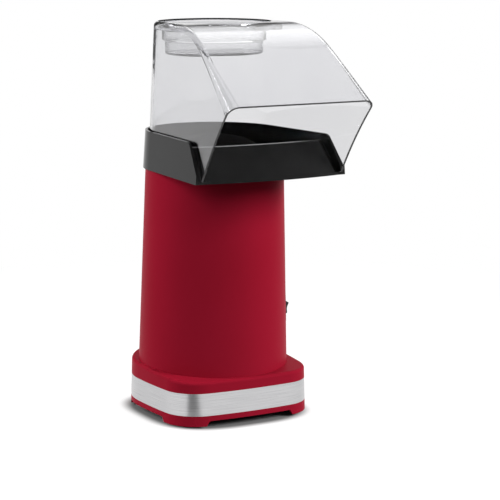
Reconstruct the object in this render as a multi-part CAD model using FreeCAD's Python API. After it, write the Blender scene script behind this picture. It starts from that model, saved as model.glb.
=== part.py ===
import FreeCAD, Part
import math
import os
from FreeCAD import Vector

# Hot air popcorn maker: a plinth with a steel band, a round tapered column that holds the fan,
# heater and popping chamber, a black chute tray, a clear hood and a clear measuring cup.
# Units are mm, +Z is up and -Y is the front, where the chute pours.
# The pieces are modelled about the column's axis and saved about the middle of the footprint.

os.makedirs("parts", exist_ok=True)

# Heights above the table
TOTAL_HEIGHT = 405.0
FOOT_STAND = 2.4
ARCH_HEIGHT = 5.2
BAND_LOW = 13.0
BAND_WIDTH = 23.0
PLATEAU_FRONT = 47.5
PLATEAU_BACK = 56.0
COLUMN_TOP = 255.0
LIP_HEIGHT = 335.0

# Plinth plan, measured from the column's axis at the height of the band's top edge
PLINTH_HALF_WIDTH = 81.6
PLINTH_FRONT = 77.8
PLINTH_BACK = 86.0
PLINTH_CORNER_FRONT = 35.0
PLINTH_CORNER_BACK = 70.0
PLINTH_BOW = 500.0
PLINTH_DRAFT = 0.025
PLINTH_WALL = 2.6
SHOULDER_RADIUS = 3.4
ARCH_HALF_FRONT = 47.0
ARCH_HALF_SIDE = 40.0
ARCH_SIDE_MIDDLE = 4.0
ARCH_SLANT = 4.0
ARCH_CORNER = 2.5
BAND_THICKNESS = 0.8
BAND_GAP = 0.05

# Rubber feet and the screws of the bottom plate
FOOT_FRONT_INSET = 20.2
FOOT_BACK_INSET = 29.8
FOOT_RADIUS = 7.5
FOOT_STEM_RADIUS = 3.0
FOOT_STEM_LENGTH = 5.0
FOOT_PAD_RADIUS = 8.0
PLATE_THICKNESS = 2.4
PLATE_GAP = 0.3
PLATE_SCREW_INSET = 11.8
PLATE_SCREW_Y = 60.0
BOSS_RADIUS = 4.5
INTAKE_RADIUS = 46.0
INTAKE_SLOT = 3.4
INTAKE_PITCH = 7.6

# Column
COLUMN_LOW_RADIUS = 77.8
COLUMN_LOW_SHIFT = 4.5
COLUMN_TOP_RADIUS = 71.6
COLUMN_WALL = 2.6
COLUMN_FLANGE = 12.0
COLUMN_FLANGE_THICKNESS = 5.0
COLUMN_SCREW_COUNT = 4
COLUMN_SCREW_START = 45.0

# Chute: tray and hood share one plan, a round back with walls that open out to the front
FLARE = 0.0915
LIP_REACH = 177.5
HOOD_TOP_RADIUS = 62.1
HOOD_DRAFT = 0.0442
HOOD_WALL = 2.2
HOOD_EDGE_RADIUS = 5.0
LIP_EDGE_RADIUS = 12.0
HOOD_FOOT_REACH = 119.5
OPENING_BOW = 3.7
OPENING_BOW_RADIUS = 450.0
HOOD_SLOPE = 35.2
HOOD_SHOULDER_RADIUS = 111.0
HOOD_OVERCUT = 11.0
TRAY_FLOOR = 3.0
TRAY_HEIGHT = 39.0
TRAY_REACH = 117.5
TRAY_TOP_REACH = 95.0
TRAY_POST_HEIGHT = 9.0
TRAY_POST_RADIUS = 9.0
TRAY_WALL = 4.9
TRAY_DRAFT = 0.063
TRAY_FRONT_HEIGHT = 33.0
TRAY_FRONT_SETBACK = 25.0
TRAY_FRONT_BOW = 8.0
TRAY_FRONT_LOW_HALF = 74.5
TRAY_FRONT_HIGH_HALF = 67.6
GROOVE_WIDTH = 1.4
GROOVE_DEPTH = 2.4
RIB_WIDTH = 1.3
TRAY_FRONT_WALL = 3.6
TRAY_SKIRT = 8.0
HOOD_GAP = 0.5

# Measuring cup in the hood's top
CUP_FLANGE_RADIUS = 57.4
CUP_FLANGE = 2.2
CUP_RADIUS = 52.6
CUP_STEP = 2.2
CUP_FOOT_RADIUS = 49.4
CUP_DEPTH = 30.0
CUP_STEP_DEPTH = 15.0
CUP_WALL = 2.0
CUP_GAP = 0.6
CUP_RECESS = 3.8
LEDGE_THICKNESS = 2.4
LEDGE_SPREAD = 7.0

# Popping chamber and the heater round and under it
CHAMBER_RADIUS = 46.0
CHAMBER_WALL = 1.2
CHAMBER_DEPTH = 88.0
CHAMBER_CORNER = 9.0
CHAMBER_FLANGE = 8.0
GASKET_THICKNESS = 0.8
LOUVRE_COUNT = 14
LOUVRE_LENGTH = 13.0
LOUVRE_WIDTH = 2.4
LOUVRE_LEAN = 35.0
LOUVRE_HEIGHT = 17.0
JACKET_RADIUS = 55.0
JACKET_WALL = 1.2
JACKET_FLANGE = 10.0
JACKET_FLANGE_THICKNESS = 3.0
JACKET_LOW = 128.0
JACKET_SCREW_COUNT = 3
JACKET_SCREW_START = 30.0
FORMER_THICKNESS = 1.0
FORMER_HEIGHT = 24.0
COIL_WIRE = 3.2
COIL_TURNS = 4
COIL_PITCH = 8.0
COIL_START = 10.0
THERMOSTAT_RADIUS = 9.0
THERMOSTAT_HEIGHT = 8.0
THERMOSTAT_Z = 190.0
THERMOSTAT_AZIMUTH = 150.0
THERMOSTAT_EAR = 5.0
THERMOSTAT_EAR_WIDTH = 6.0
THERMOSTAT_EAR_THICKNESS = 1.6
FUSE_RADIUS = 2.4
FUSE_LENGTH = 26.0
FUSE_AZIMUTH = 195.0

# Fan and motor under the heater
FAN_HEIGHT = 30.0
FAN_FLOOR = 2.0
FAN_RADIUS = 48.0
FAN_BLADES = 11
FAN_BLADE_HEIGHT = 17.0
FAN_BLADE_THICKNESS = 1.4
FAN_BLADE_SWEEP = 35.0
FAN_BLADE_BOW = 8.0
FAN_BLADE_BOW_RADIUS = 26.0
FAN_BLADE_SKEW = 60.0
FAN_BLADE_INSET = 0.5
FAN_LIFT = 4.0
FAN_HUB_RADIUS = 8.0
FAN_HUB_HEIGHT = 12.0
INLET_COUNT = 6
INLET_RADIUS = 10.0
INLET_CIRCLE = 33.0
MOTOR_RADIUS = 17.5
MOTOR_LENGTH = 38.0
MOTOR_WALL = 1.4
MAGNET_THICKNESS = 3.0
MAGNET_SPAN = 130.0
ARMATURE_GAP = 0.6
ARMATURE_LENGTH = 22.0
ARMATURE_SLOTS = 5
ARMATURE_SLOT_FLOOR = 5.6
ARMATURE_SLOT_WIDTH = 3.5
CAP_LENGTH = 7.0
BUSH_RADIUS = 4.0
SHAFT_RADIUS = 1.6
COLLAR_RADIUS = 3.0
RUNNING_FIT = 0.04
MOTOR_SCREW_CIRCLE = 10.0
MOTOR_SCREW_COUNT = 2
MOTOR_SCREW_START = 30.0
BOARD_THICKNESS = 1.6
DIODE_COUNT = 4
DIODE_START = 45.0
DIODE_CIRCLE = 11.0
DIODE_WIDTH = 4.4
DIODE_LENGTH = 8.0
DIODE_HEIGHT = 4.4

# Rocker switch on the column's side and the cord gland at its back
SWITCH_HEIGHT = 103.0
SWITCH_AZIMUTH = -12.0
SWITCH_WIDTH = 18.0
SWITCH_LENGTH = 24.0
SWITCH_DEPTH = 17.0
SWITCH_WALL = 2.0
BEZEL_WIDTH = 22.0
BEZEL_LENGTH = 28.0
BEZEL_THICKNESS = 1.4
ROCKER_PROUD = 4.6
ROCKER_TILT = 9.0
ROCKER_GAP = 0.5
ROCKER_EDGE_RADIUS = 0.8
ROCKER_DIP = 1.5
ROCKER_HEEL = 7.6
ROCKER_PIN_RADIUS = 1.5
ROCKER_PIN_DEPTH = 3.0
GLAND_HEIGHT = 78.0
GLAND_RADIUS = 8.0
GLAND_PROUD = 3.0
GLAND_BORE = 3.6

# Screws
SCREW_RADIUS = 1.6
SCREW_HEAD_RADIUS = 3.2
SCREW_HEAD = 1.8
SCREW_LENGTH = 9.0
SCREW_SLOT = 0.8
SCREW_FIT = 0.02
HOLE_GAP = 0.3

# How far cutting forms reach past the material, and how near an edge must lie to the plateau
OVERCUT = 1.0
NEAR = 0.01

# Sizes that follow from the ones above
BAND_HIGH = BAND_LOW + BAND_WIDTH
FOOT_FRONT_X = PLINTH_HALF_WIDTH - FOOT_FRONT_INSET
FOOT_FRONT_Y = PLINTH_FRONT - FOOT_FRONT_INSET
FOOT_BACK_X = PLINTH_HALF_WIDTH - FOOT_BACK_INSET
FOOT_BACK_Y = PLINTH_BACK - FOOT_BACK_INSET
PLATE_SCREW_X = FOOT_BACK_X - PLATE_SCREW_INSET
UNDERSIDE = FOOT_STAND + ARCH_HEIGHT
PLATE_TOP = UNDERSIDE + PLATE_THICKNESS
PLATEAU_DEPTH = PLINTH_FRONT + PLINTH_BACK
PLATEAU_SLOPE = math.degrees(math.atan2(PLATEAU_BACK - PLATEAU_FRONT, PLATEAU_DEPTH))
FLOOR_TOP = COLUMN_TOP + TRAY_FLOOR
TRAY_TOP = COLUMN_TOP + TRAY_HEIGHT
TRAY_FRONT_TOP = COLUMN_TOP + TRAY_FRONT_HEIGHT
SKIRT_LOW = COLUMN_TOP - TRAY_SKIRT
FAN_TOP = JACKET_LOW
FAN_LOW = FAN_TOP - FAN_HEIGHT
MOTOR_TOP = FAN_LOW
MOTOR_LOW = MOTOR_TOP - MOTOR_LENGTH
CAP_LOW = MOTOR_LOW - CAP_LENGTH
LEDGE_TOP = TOTAL_HEIGHT - CUP_RECESS - CUP_FLANGE
WELL_RADIUS = CUP_FLANGE_RADIUS + CUP_GAP
LEDGE_RADIUS = CUP_RADIUS + CUP_GAP
FLANGE_RADIUS = CHAMBER_RADIUS + CHAMBER_WALL + CHAMBER_FLANGE
SEAT_DEPTH = CHAMBER_WALL + GASKET_THICKNESS
JACKET_SCREW_CIRCLE = JACKET_RADIUS + JACKET_FLANGE / 2
FOOTPRINT_BACK = PLINTH_BACK + (BAND_HIGH - FOOT_STAND) * PLINTH_DRAFT
AXIS_Y = (LIP_REACH - FOOTPRINT_BACK) / 2
BIG = TOTAL_HEIGHT


def save(name, *solids):
    """Write one node, moved so that the origin is the middle of the footprint on the table."""
    shape = solids[0].copy() if len(solids) == 1 else Part.makeCompound(list(solids))
    shape.translate(Vector(0, AXIS_Y, 0))
    shape.exportStep("parts/" + name + ".step")
    print(name, len(shape.Solids), "solid(s)", "valid" if shape.isValid() else "INVALID", round(shape.Volume))


def cylinder(radius, low, high, x=0.0, y=0.0):
    """Upright cylinder between two heights."""
    return Part.makeCylinder(radius, high - low, Vector(x, y, low))


def ring(inner, outer, low, high, x=0.0, y=0.0):
    """Upright tube between two heights."""
    return cylinder(outer, low, high, x, y).cut(cylinder(inner, low, high, x, y))


def block(x_low, x_high, y_low, y_high, z_low, z_high):
    """Box between opposite corners."""
    size = (x_high - x_low, y_high - y_low, z_high - z_low)
    return Part.makeBox(*size, Vector(x_low, y_low, z_low))


def around(count, start=0.0):
    """Angles in degrees of equal steps round the axis."""
    return [start + index * 360.0 / count for index in range(count)]


def turned(shape, angle, middle=Vector(0, 0, 0), axis=Vector(0, 0, 1)):
    """Copy of a shape, turned about an axis."""
    copy = shape.copy()
    copy.rotate(middle, axis, angle)
    return copy


def moved(shape, x, y, z):
    """Copy of a shape, moved."""
    copy = shape.copy()
    copy.translate(Vector(x, y, z))
    return copy


def polar(radius, angle):
    """Plan position at a radius and an angle in degrees."""
    return radius * math.cos(math.radians(angle)), radius * math.sin(math.radians(angle))


def rounded_wire(corners, place):
    """Closed wire through (u, v, corner radius) corners, put in space by place."""
    stops = []
    for index, (u, v, radius) in enumerate(corners):
        here = Vector(u, v, 0)
        before = Vector(*corners[index - 1][:2], 0)
        after = Vector(*corners[(index + 1) % len(corners)][:2], 0)
        to_before = (before - here).normalize()
        to_after = (after - here).normalize()
        half = to_before.getAngle(to_after) / 2
        reach = radius / math.tan(half)
        inward = (to_before + to_after).normalize() if radius else Vector(0, 0, 0)
        middle = here + inward * (radius / math.sin(half) - radius)
        stops.append((here + to_before * reach, middle, here + to_after * reach, radius))
    edges = []
    for index, (start, middle, end, radius) in enumerate(stops):
        following = stops[(index + 1) % len(stops)][0]
        if radius:
            edges.append(Part.Arc(place(start), place(middle), place(end)).toShape())
        edges.append(Part.LineSegment(place(end), place(following)).toShape())
    return Part.Wire(edges)


def side_plate(corners, half_width):
    """Plate with a (y, z, corner radius) outline, spread to both sides of the middle plane."""
    wire = rounded_wire(corners, lambda p: Vector(-half_width, p.x, p.y))
    return Part.Face(wire).extrude(Vector(2 * half_width, 0, 0))


def lathe(corners):
    """Solid of revolution about the axis from a (radius, z, corner radius) outline."""
    wire = rounded_wire(corners, lambda p: Vector(p.x, 0, p.y))
    return Part.Face(wire).revolve(Vector(0, 0, 0), Vector(0, 0, 1), 360)


def screw(length=SCREW_LENGTH):
    """Pan head screw pointing up, its head under z = 0, with a driver slot."""
    head = cylinder(SCREW_HEAD_RADIUS, -SCREW_HEAD, 0)
    slot = block(-SCREW_HEAD_RADIUS, SCREW_HEAD_RADIUS, -SCREW_SLOT / 2, SCREW_SLOT / 2,
                 -SCREW_HEAD, -SCREW_HEAD / 2)
    return head.fuse(cylinder(SCREW_RADIUS, 0, length)).removeSplitter().cut(slot)


def circle_crossing(first, first_radius, second, second_radius):
    """Crossing of two circles that lies on the left when looking from the first centre to the second."""
    step = second - first
    along = (step.Length**2 + first_radius**2 - second_radius**2) / (2 * step.Length)
    across = math.sqrt(first_radius**2 - along**2)
    unit = step / step.Length
    return first + unit * along + Vector(-unit.y, unit.x, 0) * across


def plinth_wire(inset, z):
    """Plan of the plinth at a height: four bowed sides with tangent round corners."""
    inset = inset - (BAND_HIGH - z) * PLINTH_DRAFT
    bow = PLINTH_BOW - inset
    front = Vector(0, bow - PLINTH_FRONT + inset, 0)
    back = Vector(0, PLINTH_BACK - inset - bow, 0)
    middle = (PLINTH_BACK - PLINTH_FRONT) / 2
    right = Vector(PLINTH_HALF_WIDTH - inset - bow, middle, 0)
    left = Vector(-right.x, middle, 0)
    sides = [front, right, back, left]
    corners = [PLINTH_CORNER_FRONT, PLINTH_CORNER_BACK, PLINTH_CORNER_BACK, PLINTH_CORNER_FRONT]
    centres = []
    for index, radius in enumerate(corners):
        reach = bow - (radius - inset)
        centres.append(circle_crossing(sides[index], reach, sides[(index + 1) % 4], reach))
    edges = []
    for index, radius in enumerate(corners):
        side, following = sides[index], sides[(index + 1) % 4]
        before, centre = centres[index - 1], centres[index]
        size = radius - inset
        starts = [(side, before, centre, bow), (centre, side, following, size)]
        for hub, one, two, arc_radius in starts:
            away = 1 if hub is side else -1
            first = ((one - hub) * away).normalize()
            last = ((two - hub) * away).normalize()
            between = (first + last).normalize()
            points = [hub + direction * arc_radius + Vector(0, 0, z) for direction in (first, between, last)]
            edges.append(Part.Arc(*points).toShape())
    return Part.Wire(edges)


def plinth_body(inset, low, high):
    """Plinth form between two heights, inset from its outside."""
    return Part.makeLoft([plinth_wire(inset, low), plinth_wire(inset, high)], True, True)


def on_plateau(shape):
    """Put a shape, drawn flat with y from the plinth's front, on the sloped plateau."""
    copy = shape.copy()
    copy.rotate(Vector(0, 0, 0), Vector(1, 0, 0), PLATEAU_SLOPE)
    copy.translate(Vector(0, -PLINTH_FRONT, PLATEAU_FRONT))
    return copy


def above_plateau(offset=0.0):
    """Half space above the sloped plateau, moved by an offset square to it."""
    return on_plateau(block(-BIG, BIG, -BIG, BIG, offset, BIG))


def column_radius(z):
    """Outer radius of the column at a height."""
    share = (z - PLATEAU_FRONT) / (COLUMN_TOP - PLATEAU_FRONT)
    return COLUMN_LOW_RADIUS + (COLUMN_TOP_RADIUS - COLUMN_LOW_RADIUS) * share


def column_middle(z):
    """How far the column's middle lies behind its top at a height."""
    return COLUMN_LOW_SHIFT * (COLUMN_TOP - z) / (COLUMN_TOP - PLATEAU_FRONT)


def column_body(inset, low, high):
    """Tapered round form of the column between two heights, inset from its outside."""
    wires = []
    for z in (low, high):
        circle = Part.makeCircle(column_radius(z) - inset, Vector(0, column_middle(z), z))
        wires.append(Part.Wire(circle))
    return Part.makeLoft(wires, True, True)


def hood_radius(z):
    """Outer radius of the hood's round back at a height."""
    return HOOD_TOP_RADIUS + (TOTAL_HEIGHT - z) * HOOD_DRAFT


def chute_wire(radius, reach, z):
    """Plan of the chute: a round back, straight walls tangent to it that flare out, and an open front."""
    corner = Vector(radius + FLARE * reach, -reach, z)
    turn = math.acos(radius / math.hypot(corner.x, reach)) - math.atan2(reach, corner.x)
    tangent = Vector(radius * math.cos(turn), radius * math.sin(turn), z)
    mirror = Vector(-tangent.x, tangent.y, z)
    far_corner = Vector(-corner.x, corner.y, z)
    return Part.Wire([
        Part.LineSegment(corner, tangent).toShape(),
        Part.Arc(tangent, Vector(0, radius, z), mirror).toShape(),
        Part.LineSegment(mirror, far_corner).toShape(),
        Part.LineSegment(far_corner, corner).toShape(),
    ])


def chute_body(low_radius, high_radius, reach, low, high):
    """Solid chute form between two heights."""
    wires = [chute_wire(low_radius, reach, low), chute_wire(high_radius, reach, high)]
    return Part.makeLoft(wires, True, True)


def louvres(radius, z):
    """Leaning air slots round the wall of the chamber."""
    slots = []
    for angle in around(LOUVRE_COUNT):
        slot = block(-LOUVRE_LENGTH / 2, LOUVRE_LENGTH / 2, -CHAMBER_FLANGE, CHAMBER_FLANGE,
                     -LOUVRE_WIDTH / 2, LOUVRE_WIDTH / 2)
        slot = turned(slot, LOUVRE_LEAN, axis=Vector(0, 1, 0))
        slots.append(turned(moved(slot, 0, radius, z), angle))
    return slots


# Plinth: a red moulded shell with four feet, arches between them and a groove for the band
def make_plinth():
    body = plinth_body(0, FOOT_STAND, PLATEAU_BACK + PLINTH_WALL).cut(above_plateau())
    rim = [edge for edge in body.Edges
           if edge.BoundBox.ZMin > BAND_HIGH and edge.BoundBox.ZLength < PLATEAU_BACK - BAND_HIGH
           and above_plateau(-NEAR).isInside(edge.valueAt(edge.FirstParameter), 2 * NEAR, True)
           and above_plateau(-NEAR).isInside(edge.valueAt(edge.LastParameter), 2 * NEAR, True)]
    body = body.makeFillet(SHOULDER_RADIUS, rim)
    cavity = plinth_body(PLINTH_WALL + BAND_THICKNESS, -FOOT_STAND, PLATEAU_BACK + PLINTH_WALL)
    body = body.cut(cavity.cut(above_plateau(-PLINTH_WALL)))
    groove = plinth_body(-OVERCUT, BAND_LOW, BAND_HIGH).cut(plinth_body(BAND_THICKNESS, BAND_LOW, BAND_HIGH))
    body = body.cut(groove)
    inside = plinth_body(PLINTH_WALL, FOOT_STAND, PLATEAU_BACK).cut(above_plateau(-PLINTH_WALL))
    bosses = [cylinder(BOSS_RADIUS, PLATE_TOP, PLATEAU_BACK, x, y) for x, y in plate_screw_places()]
    body = body.fuse([boss.common(inside) for boss in bosses]).removeSplitter()
    for arch in arches():
        body = body.cut(arch)
    hole = column_body(COLUMN_WALL + COLUMN_FLANGE, BAND_HIGH, PLATEAU_BACK + PLINTH_WALL)
    body = body.cut(hole)
    for x, y in plate_screw_places():
        body = body.cut(cylinder(SCREW_RADIUS + SCREW_FIT, UNDERSIDE, UNDERSIDE + SCREW_LENGTH, x, y))
    for place in column_screw_places():
        hole = cylinder(SCREW_RADIUS + HOLE_GAP, -PLINTH_WALL - OVERCUT, OVERCUT, *place)
        head_low = -PLINTH_WALL - SCREW_HEAD - HOLE_GAP
        head_room = cylinder(SCREW_HEAD_RADIUS + HOLE_GAP, head_low, -PLINTH_WALL, *place)
        body = body.cut(on_plateau(hole)).cut(on_plateau(head_room))
    return body


def foot_places():
    """Plan places of the four rubber feet."""
    front = [(side * FOOT_FRONT_X, -FOOT_FRONT_Y) for side in (-1, 1)]
    back = [(side * FOOT_BACK_X, FOOT_BACK_Y) for side in (-1, 1)]
    return front + back


def plate_screw_places():
    """Plan places of the bottom plate's four screws."""
    return [(x, y) for x in (-PLATE_SCREW_X, PLATE_SCREW_X) for y in (-PLATE_SCREW_Y, PLATE_SCREW_Y)]


def column_screw_places():
    """Places of the column's screws on the plateau, as x and distance from the plinth's front."""
    places = []
    for angle in around(COLUMN_SCREW_COUNT, COLUMN_SCREW_START):
        x, y = polar(COLUMN_LOW_RADIUS - COLUMN_WALL - COLUMN_FLANGE / 2, angle)
        places.append((x, (y + COLUMN_LOW_SHIFT + PLINTH_FRONT) / math.cos(math.radians(PLATEAU_SLOPE))))
    return places


def arches():
    """Low cut-outs between the feet, across the plinth both ways."""
    low, high = FOOT_STAND - OVERCUT, UNDERSIDE
    def outline(half):
        return [(-half - ARCH_SLANT, low, 0), (half + ARCH_SLANT, low, 0),
                (half, high, ARCH_CORNER), (-half, high, ARCH_CORNER)]
    front = side_plate(outline(ARCH_HALF_FRONT), BIG)
    front.rotate(Vector(0, 0, 0), Vector(0, 0, 1), 90)
    side = moved(side_plate(outline(ARCH_HALF_SIDE), BIG), 0, ARCH_SIDE_MIDDLE, 0)
    return [front, side]


def make_band():
    outer = plinth_body(0, BAND_LOW, BAND_HIGH)
    return outer.cut(plinth_body(BAND_THICKNESS - BAND_GAP, BAND_LOW, BAND_HIGH))


def make_bottom_plate():
    inset = PLINTH_WALL + BAND_THICKNESS + PLATE_GAP
    plate = plinth_body(inset, UNDERSIDE, PLATE_TOP)
    pads = [cylinder(FOOT_PAD_RADIUS, FOOT_STAND, UNDERSIDE, x, y) for x, y in foot_places()]
    plate = plate.fuse(pads).removeSplitter()
    rows = int(INTAKE_RADIUS / INTAKE_PITCH)
    for row in range(-rows, rows + 1):
        y = row * INTAKE_PITCH
        half = math.sqrt(INTAKE_RADIUS**2 - y**2)
        if half > INTAKE_PITCH:
            plate = plate.cut(intake_slot(half - INTAKE_SLOT, y))
    for x, y in foot_places():
        stem = cylinder(FOOT_STEM_RADIUS + SCREW_FIT, FOOT_STAND, FOOT_STAND + FOOT_STEM_LENGTH, x, y)
        plate = plate.cut(stem)
    for x, y in plate_screw_places():
        plate = plate.cut(cylinder(SCREW_RADIUS + HOLE_GAP, UNDERSIDE, PLATE_TOP, x, y))
    return plate


def intake_slot(half, y):
    """Round ended air slot with a rib across its middle."""
    ends = [cylinder(INTAKE_SLOT / 2, UNDERSIDE, PLATE_TOP, x, y) for x in (-half, half)]
    bar = block(-half, half, y - INTAKE_SLOT / 2, y + INTAKE_SLOT / 2, UNDERSIDE, PLATE_TOP)
    rib = block(-INTAKE_SLOT / 2, INTAKE_SLOT / 2, y - INTAKE_SLOT, y + INTAKE_SLOT, UNDERSIDE, PLATE_TOP)
    return bar.fuse(ends).cut(rib)


def make_feet():
    top = FOOT_STAND + FOOT_STEM_LENGTH
    foot = lathe([(0, 0, 0), (FOOT_RADIUS, 0, FOOT_STAND / 2), (FOOT_RADIUS, FOOT_STAND, 0),
                  (FOOT_STEM_RADIUS, FOOT_STAND, 0), (FOOT_STEM_RADIUS, top, 0), (0, top, 0)])
    return [moved(foot, x, y, 0) for x, y in foot_places()]


# Column: a red tapered tube with a foot flange, a switch window and a hole for the cord gland
def make_column():
    low = PLATEAU_FRONT - PLINTH_WALL
    shell = column_body(0, low, COLUMN_TOP).cut(column_body(COLUMN_WALL, low, COLUMN_TOP))
    flange = column_body(COLUMN_WALL, low, COLUMN_TOP).cut(above_plateau(COLUMN_FLANGE_THICKNESS))
    flange = flange.cut(column_body(COLUMN_WALL + COLUMN_FLANGE, low, COLUMN_TOP))
    column = shell.fuse(flange).removeSplitter().common(above_plateau())
    for place in column_screw_places():
        hole = cylinder(SCREW_RADIUS + SCREW_FIT, 0, COLUMN_FLANGE_THICKNESS, *place)
        column = column.cut(on_plateau(hole))
    column = column.cut(at_switch(switch_box(HOLE_GAP, SWITCH_DEPTH)))
    return column.cut(at_gland(gland_bar(GLAND_RADIUS - GLAND_PROUD + HOLE_GAP, GLAND_PROUD)))


def make_column_screws():
    head = -PLINTH_WALL
    length = PLINTH_WALL + COLUMN_FLANGE_THICKNESS
    return [on_plateau(moved(screw(length), x, y, head)) for x, y in column_screw_places()]


# Rocker switch, modelled with x pointing out of the column and z up, then put on its side
def at_switch(shape):
    face = column_radius(SWITCH_HEIGHT)
    shape = turned(moved(shape, face, 0, 0), SWITCH_AZIMUTH)
    return moved(shape, 0, column_middle(SWITCH_HEIGHT), SWITCH_HEIGHT)


def switch_box(grow, depth):
    """Box of the switch housing, grown all round for its window."""
    width, length = SWITCH_WIDTH / 2 + grow, SWITCH_LENGTH / 2 + grow
    return block(-depth, BEZEL_THICKNESS + COLUMN_WALL, -width, width, -length, length)


def rocker_swing():
    """Radius about the pivot that the rocker's ends sweep."""
    return SWITCH_LENGTH / 2 - SWITCH_WALL - ROCKER_GAP


def make_switch():
    low, high = SWITCH_HEIGHT - BEZEL_LENGTH, SWITCH_HEIGHT + BEZEL_LENGTH
    skin = column_body(-BEZEL_THICKNESS, low, high).cut(column_body(-BAND_GAP, low, high))
    bezel = skin.common(at_switch(block(-SWITCH_DEPTH, SWITCH_DEPTH, -BEZEL_WIDTH / 2, BEZEL_WIDTH / 2,
                                        -BEZEL_LENGTH / 2, BEZEL_LENGTH / 2)))
    housing = at_switch(switch_box(0, SWITCH_DEPTH)).common(column_body(-BEZEL_THICKNESS, low, high))
    body = housing.fuse(bezel).removeSplitter()
    half_width = SWITCH_WIDTH / 2 - SWITCH_WALL
    half_length = SWITCH_LENGTH / 2 - SWITCH_WALL
    pocket = block(SWITCH_WALL - SWITCH_DEPTH, SWITCH_DEPTH, -half_width, half_width,
                   -half_length, half_length)
    body = body.cut(at_switch(pocket))
    pin = Part.makeCylinder(ROCKER_PIN_RADIUS + RUNNING_FIT, 2 * half_width + SWITCH_WALL,
                            Vector(-ROCKER_PIN_DEPTH, -half_width - SWITCH_WALL / 2, 0), Vector(0, 1, 0))
    return body.cut(at_switch(pin))


def make_rocker():
    half_width = SWITCH_WIDTH / 2 - SWITCH_WALL - ROCKER_GAP
    swing = rocker_swing()
    proud = ROCKER_PROUD + ROCKER_PIN_DEPTH
    end = math.sqrt(swing**2 - proud**2)
    profile = [(proud, -end, ROCKER_EDGE_RADIUS), (proud - ROCKER_DIP, 0, swing),
               (proud, end, ROCKER_EDGE_RADIUS), (0, ROCKER_HEEL, 0), (-SWITCH_WALL, 0, 0),
               (0, -ROCKER_HEEL, 0)]
    wire = rounded_wire(profile, lambda p: Vector(p.x, -half_width, p.y))
    rocker = Part.Face(wire).extrude(Vector(0, 2 * half_width, 0))
    pin_half = half_width + ROCKER_GAP + SWITCH_WALL / 2 - HOLE_GAP
    pin = Part.makeCylinder(ROCKER_PIN_RADIUS, 2 * pin_half, Vector(0, -pin_half, 0), Vector(0, 1, 0))
    rocker = turned(rocker.fuse(pin).removeSplitter(), ROCKER_TILT, axis=Vector(0, 1, 0))
    return at_switch(moved(rocker, -ROCKER_PIN_DEPTH, 0, 0))


# Cord gland in the column's back, modelled along +Y
def at_gland(shape):
    return moved(shape, 0, column_middle(GLAND_HEIGHT) + column_radius(GLAND_HEIGHT), GLAND_HEIGHT)


def gland_bar(radius, proud):
    """Bar along the gland's axis, through the column's wall."""
    return Part.makeCylinder(radius, 2 * COLUMN_WALL + 2 * proud, Vector(0, -2 * COLUMN_WALL - proud, 0),
                             Vector(0, 1, 0))


def make_gland():
    low, high = GLAND_HEIGHT - GLAND_RADIUS * 2, GLAND_HEIGHT + GLAND_RADIUS * 2
    outside = column_body(-BAND_GAP, low, high)
    head = at_gland(gland_bar(GLAND_RADIUS, GLAND_PROUD)).cut(outside)
    neck = at_gland(gland_bar(GLAND_RADIUS - GLAND_PROUD, GLAND_PROUD))
    gland = head.fuse(neck).removeSplitter()
    mouth = Part.makeCylinder(GLAND_BORE, GLAND_PROUD + COLUMN_WALL, Vector(0, -COLUMN_WALL, 0),
                              Vector(0, 1, 0))
    return gland.cut(at_gland(mouth))


# Chute tray: black, with a skirt in the column's top and a slanted front wall between the hood's sides
def tray_inner_radius():
    return hood_radius(FLOOR_TOP) + HOOD_GAP


def make_tray():
    low_radius = tray_inner_radius() + TRAY_WALL
    high_radius = low_radius - TRAY_HEIGHT * TRAY_DRAFT
    body = chute_body(low_radius, high_radius, TRAY_REACH, COLUMN_TOP, TRAY_TOP)
    outline = [(BIG, COLUMN_TOP, 0), (-TRAY_REACH, COLUMN_TOP, 0),
               (-TRAY_REACH, COLUMN_TOP + TRAY_POST_HEIGHT, 0),
               (-TRAY_TOP_REACH, TRAY_TOP, TRAY_POST_RADIUS), (BIG, TRAY_TOP, 0)]
    body = body.common(side_plate(outline, BIG))
    inner = tray_inner_radius()
    hollow = chute_body(inner, inner, TRAY_REACH * 2, FLOOR_TOP, TRAY_TOP + OVERCUT)
    body = body.cut(hollow)
    body = body.fuse([make_front_wall(), tray_skirt()]).removeSplitter()
    body = body.cut(cylinder(CHAMBER_RADIUS + CHAMBER_WALL + HOLE_GAP, SKIRT_LOW, FLOOR_TOP))
    body = body.cut(cylinder(FLANGE_RADIUS + HOLE_GAP, FLOOR_TOP - SEAT_DEPTH, FLOOR_TOP))
    for x, y in jacket_screw_places():
        body = body.cut(cylinder(SCREW_RADIUS + SCREW_FIT, SKIRT_LOW, COLUMN_TOP, x, y))
    return body


def tray_skirt():
    """Ring under the tray that sits in the column's top and carries the heater jacket."""
    outer = COLUMN_TOP_RADIUS - COLUMN_WALL - HOLE_GAP
    return ring(JACKET_RADIUS, outer, SKIRT_LOW, COLUMN_TOP + TRAY_FLOOR / 2)


def front_block(inset, low):
    """Bowed block that leans back like the front wall, from an inset front face to mid tray."""
    lean = TRAY_FRONT_SETBACK / TRAY_FRONT_HEIGHT
    face = -TRAY_REACH + inset + (low - COLUMN_TOP) * lean
    corners = [Vector(side * BIG / 2, 0, low) for side in (-1, 1)]
    bow = TRAY_FRONT_BOW / TRAY_FRONT_LOW_HALF**2
    ends = [Vector(corner.x, face - TRAY_FRONT_BOW + bow * corner.x**2, low) for corner in corners]
    front = Part.Arc(ends[0], Vector(0, face - TRAY_FRONT_BOW, low), ends[1]).toShape()
    wire = Part.Wire([front, Part.makeLine(ends[1], corners[1]), Part.makeLine(*reversed(corners)),
                      Part.makeLine(corners[0], ends[0])])
    return Part.Face(wire).extrude(Vector(0, BIG * lean, BIG))


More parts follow.
